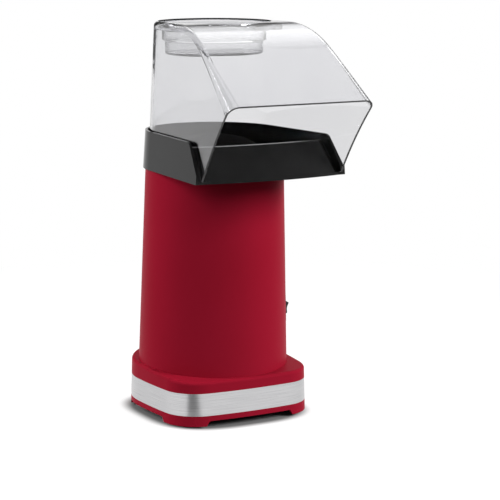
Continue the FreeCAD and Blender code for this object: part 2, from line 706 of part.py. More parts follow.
def front_plate(grow):
    """Upright block with the front wall's tapered outline seen from the front, grown to both sides."""
    outline = [(-TRAY_FRONT_LOW_HALF - grow, COLUMN_TOP, 0), (TRAY_FRONT_LOW_HALF + grow, COLUMN_TOP, 0),
               (TRAY_FRONT_HIGH_HALF + grow, TRAY_FRONT_TOP, 0),
               (-TRAY_FRONT_HIGH_HALF - grow, TRAY_FRONT_TOP, 0)]
    wire = rounded_wire(outline, lambda p: Vector(p.x, -BIG, p.y))
    return Part.Face(wire).extrude(Vector(0, 2 * BIG, 0))


def make_front_wall():
    """Bowed, slanted front wall with a groove and a rib at each end, clear of the hood's walls."""
    radius = hood_radius(TRAY_FRONT_TOP) - HOOD_WALL - HOOD_GAP
    room = chute_body(radius, radius, BIG, COLUMN_TOP, TRAY_FRONT_TOP)
    room = room.cut(front_block(TRAY_FRONT_WALL + GROOVE_DEPTH, FLOOR_TOP))
    wall = front_block(0, COLUMN_TOP).common(front_plate(0))
    rib = front_plate(GROOVE_WIDTH + RIB_WIDTH).cut(front_plate(GROOVE_WIDTH))
    rib = rib.common(front_block(GROOVE_DEPTH / 2, COLUMN_TOP))
    strip = front_block(GROOVE_DEPTH, COLUMN_TOP)
    behind = block(-BIG, BIG, -BIG, -TRAY_REACH / 2, COLUMN_TOP, TRAY_FRONT_TOP)
    return room.common(strip.fuse([wall, rib])).common(behind)


# Clear hood: a thin shell with a round back, a roof that slopes to the lip, and a well for the cup
def roof_outline(drop):
    """(y, z, corner radius) outline of the roof from the side, dropped square to it and run past the lip."""
    slope = math.tan(math.radians(HOOD_SLOPE))
    top = TOTAL_HEIGHT - drop
    lip_z = LIP_HEIGHT - drop / math.cos(math.radians(HOOD_SLOPE))
    shoulder = -LIP_REACH + (top - lip_z) / slope
    low = FLOOR_TOP - drop
    past = LIP_REACH + HOOD_OVERCUT
    return [(BIG, low, 0), (-past, low, 0), (-past, lip_z - HOOD_OVERCUT * slope, 0),
            (shoulder, top, HOOD_SHOULDER_RADIUS - drop), (BIG, top, 0)]


def opening_outline():
    """(y, z, corner radius) outline that keeps what lies behind the hood's bowed front opening."""
    foot, lip = Vector(-HOOD_FOOT_REACH, FLOOR_TOP, 0), Vector(-LIP_REACH, LIP_HEIGHT, 0)
    along = (lip - foot).normalize()
    middle = (foot + lip) / 2 + Vector(along.y, -along.x, 0) * OPENING_BOW
    beyond = lip + (lip - middle).normalize() * HOOD_OVERCUT
    return [(BIG, foot.y, 0), (foot.x, foot.y, 0), (middle.x, middle.y, OPENING_BOW_RADIUS),
            (beyond.x, beyond.y, 0), (beyond.x, BIG + OVERCUT, 0), (BIG, BIG + OVERCUT, 0)]


def hood_form(drop):
    """Hood form, dropped in from its outside, with roof edges that grow rounder towards the lip."""
    low = FLOOR_TOP - drop
    form = chute_body(hood_radius(low) - drop, hood_radius(TOTAL_HEIGHT) - drop, BIG, low, TOTAL_HEIGHT)
    form = form.common(side_plate(roof_outline(drop), BIG))
    half = form.common(block(0, BIG, -BIG, BIG, 0, BIG))
    edge = slope_edge(half)
    start, end = edge.valueAt(edge.FirstParameter), edge.valueAt(edge.LastParameter)
    shoulder_y = max(start.y, end.y)
    growth = (LIP_EDGE_RADIUS - HOOD_EDGE_RADIUS) / (LIP_REACH + shoulder_y)
    radii = [HOOD_EDGE_RADIUS - drop + growth * (shoulder_y - point.y) for point in (start, end)]
    half = half.makeFillet(*radii, [edge])
    return half.fuse(half.mirror(Vector(0, 0, 0), Vector(1, 0, 0))).removeSplitter()


def slope_edge(half):
    """Edge between the sloping part of the roof and the right wall."""
    slope = math.tan(math.radians(HOOD_SLOPE))
    for edge in half.Edges:
        box = edge.BoundBox
        leans = box.YLength > 1 and abs(box.ZLength / box.YLength - slope) < 0.001
        if leans and box.XMin > HOOD_TOP_RADIUS / 2 and box.ZMax > LIP_HEIGHT:
            return edge


def make_hood():
    hood = hood_form(0).cut(hood_form(HOOD_WALL)).common(side_plate(opening_outline(), BIG))
    well = ring(LEDGE_RADIUS, HOOD_TOP_RADIUS + LEDGE_SPREAD, LEDGE_TOP - LEDGE_THICKNESS, TOTAL_HEIGHT)
    well = well.common(hood_form(HOOD_WALL / 2))
    hood = hood.fuse(well).removeSplitter()
    hood = hood.cut(cylinder(LEDGE_RADIUS, LEDGE_TOP - LEDGE_THICKNESS, TOTAL_HEIGHT + OVERCUT))
    return hood.cut(cylinder(WELL_RADIUS, LEDGE_TOP, TOTAL_HEIGHT + OVERCUT))


def make_cup():
    top = LEDGE_TOP + CUP_FLANGE
    low = top - CUP_DEPTH
    step = top - CUP_STEP_DEPTH
    inner, inner_foot = CUP_RADIUS - CUP_WALL, CUP_FOOT_RADIUS - CUP_WALL
    outer = lathe([(0, low, 0), (CUP_FOOT_RADIUS, low, CUP_WALL), (CUP_FOOT_RADIUS, step - CUP_STEP, 0),
                   (CUP_RADIUS, step, 0), (CUP_RADIUS, LEDGE_TOP, 0), (CUP_FLANGE_RADIUS, LEDGE_TOP, 0),
                   (CUP_FLANGE_RADIUS, top, 0), (0, top, 0)])
    hollow = lathe([(0, low + CUP_WALL, 0), (inner_foot, low + CUP_WALL, CUP_WALL),
                    (inner_foot, step - CUP_STEP, 0), (inner, step, 0), (inner, top + OVERCUT, 0),
                    (0, top + OVERCUT, 0)])
    return outer.cut(hollow)


# Popping chamber: a thin aluminium pot with leaning louvres, hung by its rim in the tray's floor
def make_chamber():
    top = FLOOR_TOP
    low = top - CHAMBER_DEPTH
    outer_radius = CHAMBER_RADIUS + CHAMBER_WALL
    outer = lathe([(0, low, 0), (outer_radius, low, CHAMBER_CORNER), (outer_radius, top - CHAMBER_WALL, 0),
                   (FLANGE_RADIUS, top - CHAMBER_WALL, 0), (FLANGE_RADIUS, top, 0), (0, top, 0)])
    hollow = lathe([(0, low + CHAMBER_WALL, 0),
                    (CHAMBER_RADIUS, low + CHAMBER_WALL, CHAMBER_CORNER - CHAMBER_WALL),
                    (CHAMBER_RADIUS, top + OVERCUT, 0), (0, top + OVERCUT, 0)])
    chamber = outer.cut(hollow)
    for slot in louvres(outer_radius, low + LOUVRE_HEIGHT):
        chamber = chamber.cut(slot)
    return chamber


def make_gasket():
    low = FLOOR_TOP - SEAT_DEPTH
    return ring(CHAMBER_RADIUS + CHAMBER_WALL + HOLE_GAP, FLANGE_RADIUS, low, low + GASKET_THICKNESS)


# Heater jacket: a flanged steel tube screwed under the tray, with the fan housing screwed under it
def jacket_screw_places():
    """Plan places of the screws in the jacket's flanges."""
    return [polar(JACKET_SCREW_CIRCLE, angle) for angle in around(JACKET_SCREW_COUNT, JACKET_SCREW_START)]


def make_jacket():
    rim = JACKET_RADIUS + JACKET_FLANGE
    tube = ring(JACKET_RADIUS - JACKET_WALL, JACKET_RADIUS, JACKET_LOW, SKIRT_LOW)
    top = ring(JACKET_RADIUS, rim, SKIRT_LOW - JACKET_FLANGE_THICKNESS, SKIRT_LOW)
    foot = ring(JACKET_RADIUS, rim, JACKET_LOW, JACKET_LOW + JACKET_FLANGE_THICKNESS)
    jacket = tube.fuse([top, foot]).removeSplitter()
    for x, y in jacket_screw_places():
        clear = cylinder(SCREW_RADIUS + HOLE_GAP, SKIRT_LOW - JACKET_FLANGE_THICKNESS, SKIRT_LOW, x, y)
        held = cylinder(SCREW_RADIUS + SCREW_FIT, JACKET_LOW, JACKET_LOW + JACKET_FLANGE_THICKNESS, x, y)
        jacket = jacket.cut([clear, held])
    return jacket


def make_jacket_screws():
    top = moved(screw(), 0, 0, SKIRT_LOW - JACKET_FLANGE_THICKNESS)
    foot = moved(screw(JACKET_FLANGE_THICKNESS * 2), 0, 0, JACKET_LOW - JACKET_FLANGE_THICKNESS)
    places = jacket_screw_places()
    return [moved(piece, x, y, 0) for piece in (top, foot) for x, y in places]


def make_former():
    half = JACKET_RADIUS - JACKET_WALL - BAND_GAP
    low, high = JACKET_LOW, JACKET_LOW + FORMER_HEIGHT
    plate = block(-half, half, -FORMER_THICKNESS / 2, FORMER_THICKNESS / 2, low, high)
    cross = plate.fuse(turned(plate, 90)).removeSplitter()
    cross = cross.common(cylinder(half, low, high))
    return cross.cut(cylinder(COIL_START - COIL_WIRE, high - COIL_WIRE, high))


def make_coil():
    """Flat spiral of half circles on top of the former, as one round tube."""
    z = JACKET_LOW + FORMER_HEIGHT + COIL_WIRE / 2 + BAND_GAP
    edges = []
    side, centre, radius = 1, 0.0, COIL_START
    for half_turn in range(COIL_TURNS * 2):
        start = Vector(centre + side * radius, 0, z)
        middle = Vector(centre, side * radius, z)
        end = Vector(centre - side * radius, 0, z)
        edges.append(Part.Arc(start, middle, end).toShape())
        radius = radius + COIL_PITCH / 2
        centre = centre + side * COIL_PITCH / 2
        side = -side
    path = Part.Wire(edges)
    section = Part.Wire(Part.makeCircle(COIL_WIRE / 2, Vector(COIL_START, 0, z), Vector(0, 1, 0)))
    print("heating coil, least gap between turns", COIL_PITCH - COIL_WIRE)
    return path.makePipeShell([section], True, False)


def make_thermostat():
    face = JACKET_RADIUS + BAND_GAP
    length = JACKET_FLANGE + THERMOSTAT_HEIGHT
    body = Part.makeCylinder(THERMOSTAT_RADIUS, length, Vector(0, 0, 0), Vector(1, 0, 0))
    body = moved(body, face - JACKET_FLANGE, 0, THERMOSTAT_Z)
    half = THERMOSTAT_RADIUS + THERMOSTAT_EAR
    ear = block(face - JACKET_FLANGE, face + THERMOSTAT_EAR_THICKNESS, -half, half,
                THERMOSTAT_Z - THERMOSTAT_EAR_WIDTH / 2, THERMOSTAT_Z + THERMOSTAT_EAR_WIDTH / 2)
    body = body.fuse(ear).removeSplitter()
    return turned(body.cut(cylinder(face, JACKET_LOW, SKIRT_LOW)), THERMOSTAT_AZIMUTH)


def make_fuse():
    low = THERMOSTAT_Z - FUSE_LENGTH / 2
    barrel = cylinder(FUSE_RADIUS, low, low + FUSE_LENGTH, JACKET_RADIUS + FUSE_RADIUS + BAND_GAP, 0)
    return turned(barrel, FUSE_AZIMUTH)


# Fan housing and fan
def make_fan_housing():
    rim = JACKET_RADIUS + JACKET_FLANGE
    wall = ring(JACKET_RADIUS - JACKET_WALL, JACKET_RADIUS, FAN_LOW, FAN_TOP)
    flange = ring(JACKET_RADIUS, rim, FAN_TOP - JACKET_FLANGE_THICKNESS, FAN_TOP)
    floor = cylinder(JACKET_RADIUS, FAN_LOW, FAN_LOW + FAN_FLOOR)
    housing = wall.fuse([flange, floor]).removeSplitter()
    for angle in around(INLET_COUNT):
        inlet = cylinder(INLET_RADIUS, FAN_LOW, FAN_LOW + FAN_FLOOR, *polar(INLET_CIRCLE, angle))
        housing = housing.cut(inlet)
    housing = housing.cut(cylinder(BUSH_RADIUS + HOLE_GAP, FAN_LOW, FAN_LOW + FAN_FLOOR))
    for x, y in motor_screw_places():
        housing = housing.cut(cylinder(SCREW_RADIUS + HOLE_GAP, FAN_LOW, FAN_LOW + FAN_FLOOR, x, y))
    for x, y in jacket_screw_places():
        clear = cylinder(SCREW_RADIUS + HOLE_GAP, FAN_TOP - JACKET_FLANGE_THICKNESS, FAN_TOP, x, y)
        housing = housing.cut(clear)
    return housing


def motor_screw_places():
    """Plan places of the motor's two screws."""
    return [polar(MOTOR_SCREW_CIRCLE, angle) for angle in around(MOTOR_SCREW_COUNT, MOTOR_SCREW_START)]


def make_impeller():
    low = FAN_LOW + FAN_FLOOR + FAN_LIFT
    disc = cylinder(FAN_RADIUS, low, low + FAN_BLADE_THICKNESS)
    hub = cylinder(FAN_HUB_RADIUS, low, low + FAN_HUB_HEIGHT)
    blades = []
    inner = FAN_HUB_RADIUS - FAN_BLADE_INSET
    for angle in around(FAN_BLADES):
        start, end = polar(inner, angle), polar(FAN_RADIUS - FAN_BLADE_INSET, angle - FAN_BLADE_SWEEP)
        middle = polar(FAN_BLADE_BOW_RADIUS, angle - FAN_BLADE_BOW)
        path = Part.Arc(Vector(*start, low), Vector(*middle, low), Vector(*end, low)).toShape()
        far = Part.Arc(*[Vector(*polar(FAN_BLADE_THICKNESS, angle + FAN_BLADE_SKEW), 0) + Vector(*point, low)
                         for point in (start, middle, end)]).toShape()
        face = Part.Face(Part.Wire([path, Part.makeLine(path.valueAt(path.LastParameter),
                                                        far.valueAt(far.LastParameter)),
                                    far, Part.makeLine(far.valueAt(far.FirstParameter),
                                                       path.valueAt(path.FirstParameter))]))
        blades.append(face.extrude(Vector(0, 0, FAN_BLADE_HEIGHT)))
    fan = disc.fuse([hub] + blades).removeSplitter().common(cylinder(FAN_RADIUS, low, low + FAN_BLADE_HEIGHT))
    return fan.cut(cylinder(SHAFT_RADIUS + SCREW_FIT, low, low + FAN_BLADE_HEIGHT))


# Motor: can, magnets, armature, end cap, bushes, shaft, screws and the rectifier board under it
def make_motor_can():
    can = cylinder(MOTOR_RADIUS, MOTOR_LOW, MOTOR_TOP)
    can = can.cut(cylinder(MOTOR_RADIUS - MOTOR_WALL, MOTOR_LOW, MOTOR_TOP - MOTOR_WALL * 2))
    can = can.cut(cylinder(BUSH_RADIUS + SCREW_FIT, MOTOR_LOW, MOTOR_TOP))
    for x, y in motor_screw_places():
        can = can.cut(cylinder(SCREW_RADIUS + SCREW_FIT, MOTOR_LOW, MOTOR_TOP, x, y))
    return can


def make_magnets():
    outer = MOTOR_RADIUS - MOTOR_WALL - BAND_GAP
    middle = (MOTOR_LOW + MOTOR_TOP) / 2 - MOTOR_WALL
    low, high = middle - ARMATURE_LENGTH / 2, middle + ARMATURE_LENGTH / 2
    inner = outer - MAGNET_THICKNESS
    sector = Part.makeCylinder(outer, high - low, Vector(0, 0, low), Vector(0, 0, 1), MAGNET_SPAN)
    magnet = sector.cut(cylinder(inner, low, high))
    return [turned(magnet, angle) for angle in around(2)]


def make_armature():
    radius = MOTOR_RADIUS - MOTOR_WALL - BAND_GAP - MAGNET_THICKNESS - ARMATURE_GAP
    middle = (MOTOR_LOW + MOTOR_TOP) / 2 - MOTOR_WALL
    low, high = middle - ARMATURE_LENGTH / 2, middle + ARMATURE_LENGTH / 2
    core = cylinder(radius, low, high)
    for angle in around(ARMATURE_SLOTS):
        slot = block(ARMATURE_SLOT_FLOOR, radius + OVERCUT, -ARMATURE_SLOT_WIDTH / 2, ARMATURE_SLOT_WIDTH / 2,
                     low, high)
        core = core.cut(turned(slot, angle))
    return core.cut(cylinder(SHAFT_RADIUS + SCREW_FIT, low, high))


def make_end_cap():
    cap = cylinder(MOTOR_RADIUS, CAP_LOW, MOTOR_LOW)
    return cap.cut(cylinder(BUSH_RADIUS + SCREW_FIT, CAP_LOW, MOTOR_LOW))


def make_bushes():
    bore = SHAFT_RADIUS + RUNNING_FIT
    top = ring(bore, BUSH_RADIUS, MOTOR_TOP - MOTOR_WALL * 2, MOTOR_TOP + FAN_FLOOR)
    foot = ring(bore, BUSH_RADIUS, CAP_LOW, MOTOR_LOW)
    return [top, foot]


def make_shaft():
    high = FAN_LOW + FAN_FLOOR + FAN_LIFT + FAN_BLADE_HEIGHT
    shaft = cylinder(SHAFT_RADIUS, CAP_LOW, high)
    seat = FAN_LOW + FAN_FLOOR + RUNNING_FIT
    collar = cylinder(COLLAR_RADIUS, seat, FAN_LOW + FAN_FLOOR + FAN_LIFT)
    return shaft.fuse(collar).removeSplitter()


def make_motor_screws():
    driver = turned(screw(FAN_FLOOR + MOTOR_WALL * 2), 180, axis=Vector(1, 0, 0))
    return [moved(driver, x, y, FAN_LOW + FAN_FLOOR) for x, y in motor_screw_places()]


def make_board():
    low = CAP_LOW - BOARD_THICKNESS
    board = ring(BUSH_RADIUS, MOTOR_RADIUS, low, CAP_LOW)
    diode = block(-DIODE_WIDTH / 2, DIODE_WIDTH / 2, -DIODE_LENGTH / 2, DIODE_LENGTH / 2,
                  low - DIODE_HEIGHT, low)
    diodes = [turned(moved(diode, DIODE_CIRCLE, 0, 0), angle) for angle in around(DIODE_COUNT, DIODE_START)]
    return board.fuse(diodes).removeSplitter()


save("base_plinth", make_plinth())
save("steel_band", make_band())
save("bottom_plate", make_bottom_plate())
save("rubber_feet", *make_feet())
save("bottom_screws", *[moved(screw(), x, y, UNDERSIDE) for x, y in plate_screw_places()])
save("body_column", make_column())
save("column_screws", *make_column_screws())
save("switch_body", make_switch())
save("rocker_button", make_rocker())
save("cord_gland", make_gland())
save("chute_tray", make_tray())
save("hood", make_hood())
save("measuring_cup", make_cup())
save("popping_chamber", make_chamber())
save("chamber_gasket", make_gasket())
save("heater_jacket", make_jacket())
save("jacket_screws", *make_jacket_screws())
save("heater_former", make_former())
save("heating_coil", make_coil())
save("thermostat", make_thermostat())
save("thermal_fuse", make_fuse())
save("fan_housing", make_fan_housing())
save("fan_impeller", make_impeller())
save("motor_can", make_motor_can())
save("motor_magnets", *make_magnets())
save("motor_armature", make_armature())
save("motor_end_cap", make_end_cap())
save("motor_bushes", *make_bushes())
save("rotor_shaft", make_shaft())
save("motor_screws", *make_motor_screws())
save("rectifier_board", make_board())
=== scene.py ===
# %% [markdown]
# # A hot air popcorn maker
# The measured solids come from CAD, in metres, with +Z up and the chute towards -Y.
# Blender doesn't move or reshape them. It gives each piece its finish and lights the result
# like a product photograph.

# %% Load the measured solids
import math

import bpy
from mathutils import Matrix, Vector

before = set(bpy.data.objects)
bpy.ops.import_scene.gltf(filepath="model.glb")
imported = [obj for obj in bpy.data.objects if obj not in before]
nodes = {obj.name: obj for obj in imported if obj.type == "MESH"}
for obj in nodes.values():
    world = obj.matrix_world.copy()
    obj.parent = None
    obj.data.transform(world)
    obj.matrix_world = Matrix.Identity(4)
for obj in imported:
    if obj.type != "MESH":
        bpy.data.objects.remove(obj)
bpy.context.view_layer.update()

# %% [markdown]
# ## Colours
# A shader works with linear light, while people choose colours as they look on a screen.
# One small function turns the second into the first, so that colours below can be read as
# ordinary red, green and blue values from 0 to 255.

# %% Screen colours to linear light
WHITE = (1, 1, 1, 1)


def screen_colour(red, green, blue):
    """Linear colour, with full alpha, of a screen colour from 0 to 255."""
    linear = []
    for value in (red, green, blue):
        share = value / 255
        linear.append(share / 12.92 if share <= 0.04045 else ((share + 0.055) / 1.055) ** 2.4)
    return (*linear, 1.0)


print("middle grey in linear light:", round(screen_colour(128, 128, 128)[0], 3))

# %% [markdown]
# ## Building blocks for shaders
# A shader is a graph: each node takes numbers or colours from the nodes before it. Finishes, table and
# room all need the same few steps, so each step gets a function here that adds one node, joins it up
# and returns the socket that holds its result. Graphs then read like ordinary sums.

# %% Building blocks for shaders
def new_material(name):
    """Material with its node tree and its main shader."""
    material = bpy.data.materials.new(name)
    material.use_nodes = True
    tree = material.node_tree
    return material, tree, tree.nodes["Principled BSDF"]


def number_step(tree, operation, first, second):
    """Result of one sum on numbers. The second term is a socket or a number."""
    step = tree.nodes.new("ShaderNodeMath")
    step.operation = operation
    tree.links.new(first, step.inputs[0])
    if isinstance(second, float):
        step.inputs[1].default_value = second
    else:
        tree.links.new(second, step.inputs[1])
    return step.outputs["Value"]


def vector_step(tree, operation, first, second=None):
    """Result of one sum on vectors. The second term is a socket, a vector or nothing."""
    step = tree.nodes.new("ShaderNodeVectorMath")
    step.operation = operation
    tree.links.new(first, step.inputs[0])
    if isinstance(second, bpy.types.NodeSocket):
        tree.links.new(second, step.inputs[1])
    elif second is not None:
        step.inputs[1].default_value = second
    return step.outputs["Value" if operation in ("DOT_PRODUCT", "LENGTH") else "Vector"]


def ranged(tree, value, start, end, smooth=False):
    """Number that goes over the end's range while the value goes over the start's range."""
    step = tree.nodes.new("ShaderNodeMapRange")
    if smooth:
        step.interpolation_type = "SMOOTHSTEP"
    step.inputs["From Min"].default_value, step.inputs["From Max"].default_value = start
    step.inputs["To Min"].default_value, step.inputs["To Max"].default_value = end
    tree.links.new(value, step.inputs["Value"])
    return step.outputs["Result"]


def ramped(tree, value, stops):
    """Colour from a ramp through stops, each a position and a colour."""
    step = tree.nodes.new("ShaderNodeValToRGB")
    elements = step.color_ramp.elements
    while len(elements) < len(stops):
        elements.new(0.5)
    for element, (position, colour) in zip(elements, stops):
        element.position = position
        element.color = colour
    tree.links.new(value, step.inputs["Fac"])
    return step.outputs["Color"]


def stretched_noise(tree, place, scale, detail, stretch):
    """Noise that varies faster along an axis with a larger stretch."""
    mapping = tree.nodes.new("ShaderNodeMapping")
    mapping.inputs["Scale"].default_value = stretch
    noise = tree.nodes.new("ShaderNodeTexNoise")
    noise.inputs["Scale"].default_value = scale
    noise.inputs["Detail"].default_value = detail
    tree.links.new(place, mapping.inputs["Vector"])
    tree.links.new(mapping.outputs["Vector"], noise.inputs["Vector"])
    return noise.outputs["Fac"]


print("building blocks ready")

# %% [markdown]
# ## A shared start for every finish
# No real surface has one flat colour: a moulding flows, a sheet is rolled and rubber dusts over.
# Each finish below starts from the same small graph. A noise in the piece's own coordinates
# drifts the colour between two close tones and moves the roughness a little. What sets the finishes
# apart is how fine the noise is, how far it stretches along one axis and which bumps it raises.

# %% The shared start
TONE_STOPS = (0.3, 0.7)
TONE_DETAIL = 4.0
BUMP_DETAIL = 3.0
EVEN = (1, 1, 1)


def start_finish(name, dark, light, roughness, grain, stretch=EVEN, metallic=0.0):
    """Finish whose colour and roughness drift with a stretched noise. Returns its parts by name."""
    material, tree, shader = new_material(name)
    shader.inputs["Metallic"].default_value = metallic
    place = tree.nodes.new("ShaderNodeTexCoord").outputs["Object"]
    noise = stretched_noise(tree, place, grain, TONE_DETAIL, stretch)
    tones = ramped(tree, noise, list(zip(TONE_STOPS, (screen_colour(*dark), screen_colour(*light)))))
    tree.links.new(tones, shader.inputs["Base Color"])
    tree.links.new(ranged(tree, noise, (0, 1), roughness), shader.inputs["Roughness"])
    return {"material": material, "tree": tree, "shader": shader, "place": place, "tones": tones}


def add_bump(finish, scale, strength, depth, stretch=EVEN):
    """Raise a fine noise on a finish; depth is in metres."""
    tree = finish["tree"]
    bump = tree.nodes.new("ShaderNodeBump")
    bump.inputs["Strength"].default_value = strength
    bump.inputs["Distance"].default_value = depth
    tree.links.new(stretched_noise(tree, finish["place"], scale, BUMP_DETAIL, stretch), bump.inputs["Height"])
    tree.links.new(bump.outputs["Normal"], finish["shader"].inputs["Normal"])


finishes = {}

# %% [markdown]
# ## Red moulded plastic
# The plinth and the column are one deep red plastic with a smooth, slightly wavy gloss.
# A real moulding is never optically flat, so a very broad and shallow bump bends the
# reflections a little. In the photograph the red shows no bright reflection at all, so the share of
# mirrored light is set far below that of bare plastic.

# %% Red plastic
RED_MIRROR = 0.02


def red_plastic():
    finish = start_finish("red_plastic", (149, 22, 42), (155, 24, 46), roughness=(0.42, 0.48), grain=9.0)
    finish["shader"].inputs["Specular IOR Level"].default_value = RED_MIRROR
    add_bump(finish, scale=38.0, strength=0.06, depth=0.0004)
    return finish["material"]


finishes["red_plastic"] = red_plastic()
print("made", finishes["red_plastic"].name)

# %% [markdown]
# ## Black plastics and rubber
# The chute tray is gloss black, the switch a satin black and the bottom plate a dull one.
# Rubber is the roughest and a little grey. They share one recipe with different numbers. The gloss of
# the tray is smooth but weak: a full gloss would turn its sides grey in a white room.

# %% Black plastics and rubber
BLACK_GRAIN = 30.0
BLACK_BUMP_DEPTH = 0.0003
BLACKS = {  # dark tone, light tone, roughness, bump scale, bump strength, share of mirrored light
    "tray_black": ((27, 27, 27), (32, 32, 32), (0.14, 0.2), 40.0, 0.06, 0.09),
    "black_plastic": ((21, 21, 22), (28, 28, 29), (0.45, 0.6), 900.0, 0.3, 0.4),
    "switch_black": ((18, 18, 19), (24, 24, 25), (0.30, 0.38), 700.0, 0.15, 0.4),
    "foot_rubber": ((26, 26, 26), (38, 38, 37), (0.7, 0.85), 1200.0, 0.4, 0.4),
    "gland_rubber": ((24, 24, 24), (34, 34, 34), (0.6, 0.75), 1000.0, 0.4, 0.4),
    "fan_plastic": ((32, 32, 34), (44, 44, 46), (0.4, 0.5), 600.0, 0.2, 0.4),
}


def black_finish(name, dark, light, roughness, bump_scale, bump_strength, mirror):
    finish = start_finish(name, dark, light, roughness, BLACK_GRAIN)
    finish["shader"].inputs["Specular IOR Level"].default_value = mirror
    add_bump(finish, bump_scale, bump_strength, BLACK_BUMP_DEPTH)
    return finish["material"]


for name, numbers in BLACKS.items():
    finishes[name] = black_finish(name, *numbers)
print("made", len(BLACKS), "black finishes")

# %% [markdown]
# ## Metals
# The band's polish runs lengthwise round the plinth. Stretching the noise hugely along the
# height squeezes it into fine level lines, which then move the tone, the roughness and the bump
# together. The drawn chamber and the stacked armature have coarser level lines, and the other
# metals are plain.

# %% Brushed and plain metals
METAL_BUMP_DEPTH = 0.0002
METALS = {  # dark tone, light tone, roughness, grain, stretch, bump strength
    "band_steel": ((176, 176, 178), (204, 204, 205), (0.24, 0.34), 24.0, (1, 1, 150), 0.03),
    "screw_steel": ((150, 150, 152), (180, 180, 182), (0.25, 0.4), 300.0, EVEN, 0),
    "chamber_aluminium": ((196, 197, 199), (216, 217, 219), (0.28, 0.42), 20.0, (1, 1, 60), 0.1),
    "jacket_steel": ((140, 140, 142), (170, 170, 172), (0.35, 0.5), 30.0, (1, 1, 3), 0),
    "motor_steel": ((150, 150, 148), (176, 176, 173), (0.3, 0.42), 40.0, (1, 1, 2), 0),
    "heater_wire": ((120, 112, 106), (150, 142, 134), (0.4, 0.55), 200.0, EVEN, 0),
    "armature_iron": ((84, 82, 80), (112, 110, 107), (0.4, 0.5), 20.0, (1, 1, 80), 0.1),
    "bush_bronze": ((158, 120, 70), (184, 146, 92), (0.35, 0.5), 200.0, EVEN, 0),
    "shaft_steel": ((186, 186, 188), (208, 208, 210), (0.15, 0.25), 60.0, (1, 1, 20), 0),
}


def metal_finish(name, dark, light, roughness, grain, stretch, bump_strength):
    finish = start_finish(name, dark, light, roughness, grain, stretch, metallic=1.0)
    if bump_strength:
        add_bump(finish, grain, bump_strength, METAL_BUMP_DEPTH, stretch)
    return finish["material"]


for name, numbers in METALS.items():
    finishes[name] = metal_finish(name, *numbers)
print("made", len(METALS), "metals")

# %% [markdown]
# ## Small dull materials inside
# Felt, mica, ceramic, ferrite and a circuit board are seen only when the hood is lifted or
# the part is opened. Each is a rough finish with its own two tones.

# %% Felt, mica, ceramic, ferrite and board
DULL_ROUGHNESS = (0.55, 0.75)
DULLS = {  # dark tone, light tone, grain
    "gasket_felt": ((196, 190, 178), (220, 215, 204), 160.0),
    "mica": ((150, 138, 112), (186, 174, 148), 90.0),
    "thermostat_ceramic": ((214, 210, 202), (230, 227, 220), 70.0),
    "magnet_ferrite": ((48, 46, 45), (64, 62, 60), 120.0),
    "board_green": ((24, 74, 44), (36, 92, 56), 80.0),
}


def dull_finish(name, dark, light, grain):
    finish = start_finish(name, dark, light, DULL_ROUGHNESS, grain)
    add_bump(finish, scale=grain * 6, strength=0.2, depth=0.0002)
    return finish["material"]


for name, numbers in DULLS.items():
    finishes[name] = dull_finish(name, *numbers)
print("made", len(DULLS), "dull finishes")

# %% [markdown]
# ## Clear plastic
# The hood and the cup are clear, hard plastic. Light bends through both faces of the wall, so the
# solids keep their real thickness, and a weak grey-blue absorption inside the wall does
# what it does in real sheet: the faces stay clear, while edges, where light runs a long
# way inside the material, turn dark. A painted shade, a grey laid on the colour where a wall turns
# away from the eye, draws its outline. The cup is clearer than the hood, but its surface is less smooth.

# %% Clear plastic
PLASTIC_BENDING = 1.49
CLEAR_GRAIN = 12.0
CLEAR_DENSITY = 22.0
# Grey of the painted shade that draws the outlines of the clear walls.
RIM_PAINTED_SHADE = screen_colour(60, 60, 72)


def clear_finish(name, dark, light, inside, roughness, painted_rim_start):
    finish = start_finish(name, dark, light, roughness, CLEAR_GRAIN)
    tree, shader = finish["tree"], finish["shader"]
    shader.inputs["Transmission Weight"].default_value = 1.0
    shader.inputs["IOR"].default_value = PLASTIC_BENDING
    facing = tree.nodes.new("ShaderNodeLayerWeight").outputs["Facing"]
    both = tree.nodes.new("ShaderNodeMix")
    both.data_type = "RGBA"
    both.blend_type = "MULTIPLY"
    both.inputs["Factor"].default_value = 1.0
    tree.links.new(finish["tones"], both.inputs["A"])
    # Painted shade: the colour greys where the wall turns away from the eye.
    tree.links.new(ramped(tree, facing, ((painted_rim_start, WHITE), (1.0, RIM_PAINTED_SHADE))), both.inputs["B"])
    tree.links.new(both.outputs["Result"], shader.inputs["Base Color"])
    absorb = tree.nodes.new("ShaderNodeVolumeAbsorption")
    absorb.inputs["Color"].default_value = screen_colour(*inside)
    absorb.inputs["Density"].default_value = CLEAR_DENSITY
    tree.links.new(absorb.outputs["Volume"], tree.nodes["Material Output"].inputs["Volume"])
    return finish["material"]


finishes["clear_plastic"] = clear_finish("clear_plastic", (234, 234, 236), (238, 238, 239),
                                         inside=(120, 124, 140), roughness=(0.0, 0.015), painted_rim_start=0.72)
finishes["cup_clear"] = clear_finish("cup_clear", (246, 246, 247), (250, 250, 250),
                                     inside=(150, 152, 160), roughness=(0.03, 0.09), painted_rim_start=0.6)
print("made", len(finishes), "finishes")

# %% [markdown]
# ## Which solid gets which finish
# The list reads like a parts list. Pieces that are the same material share one finish.

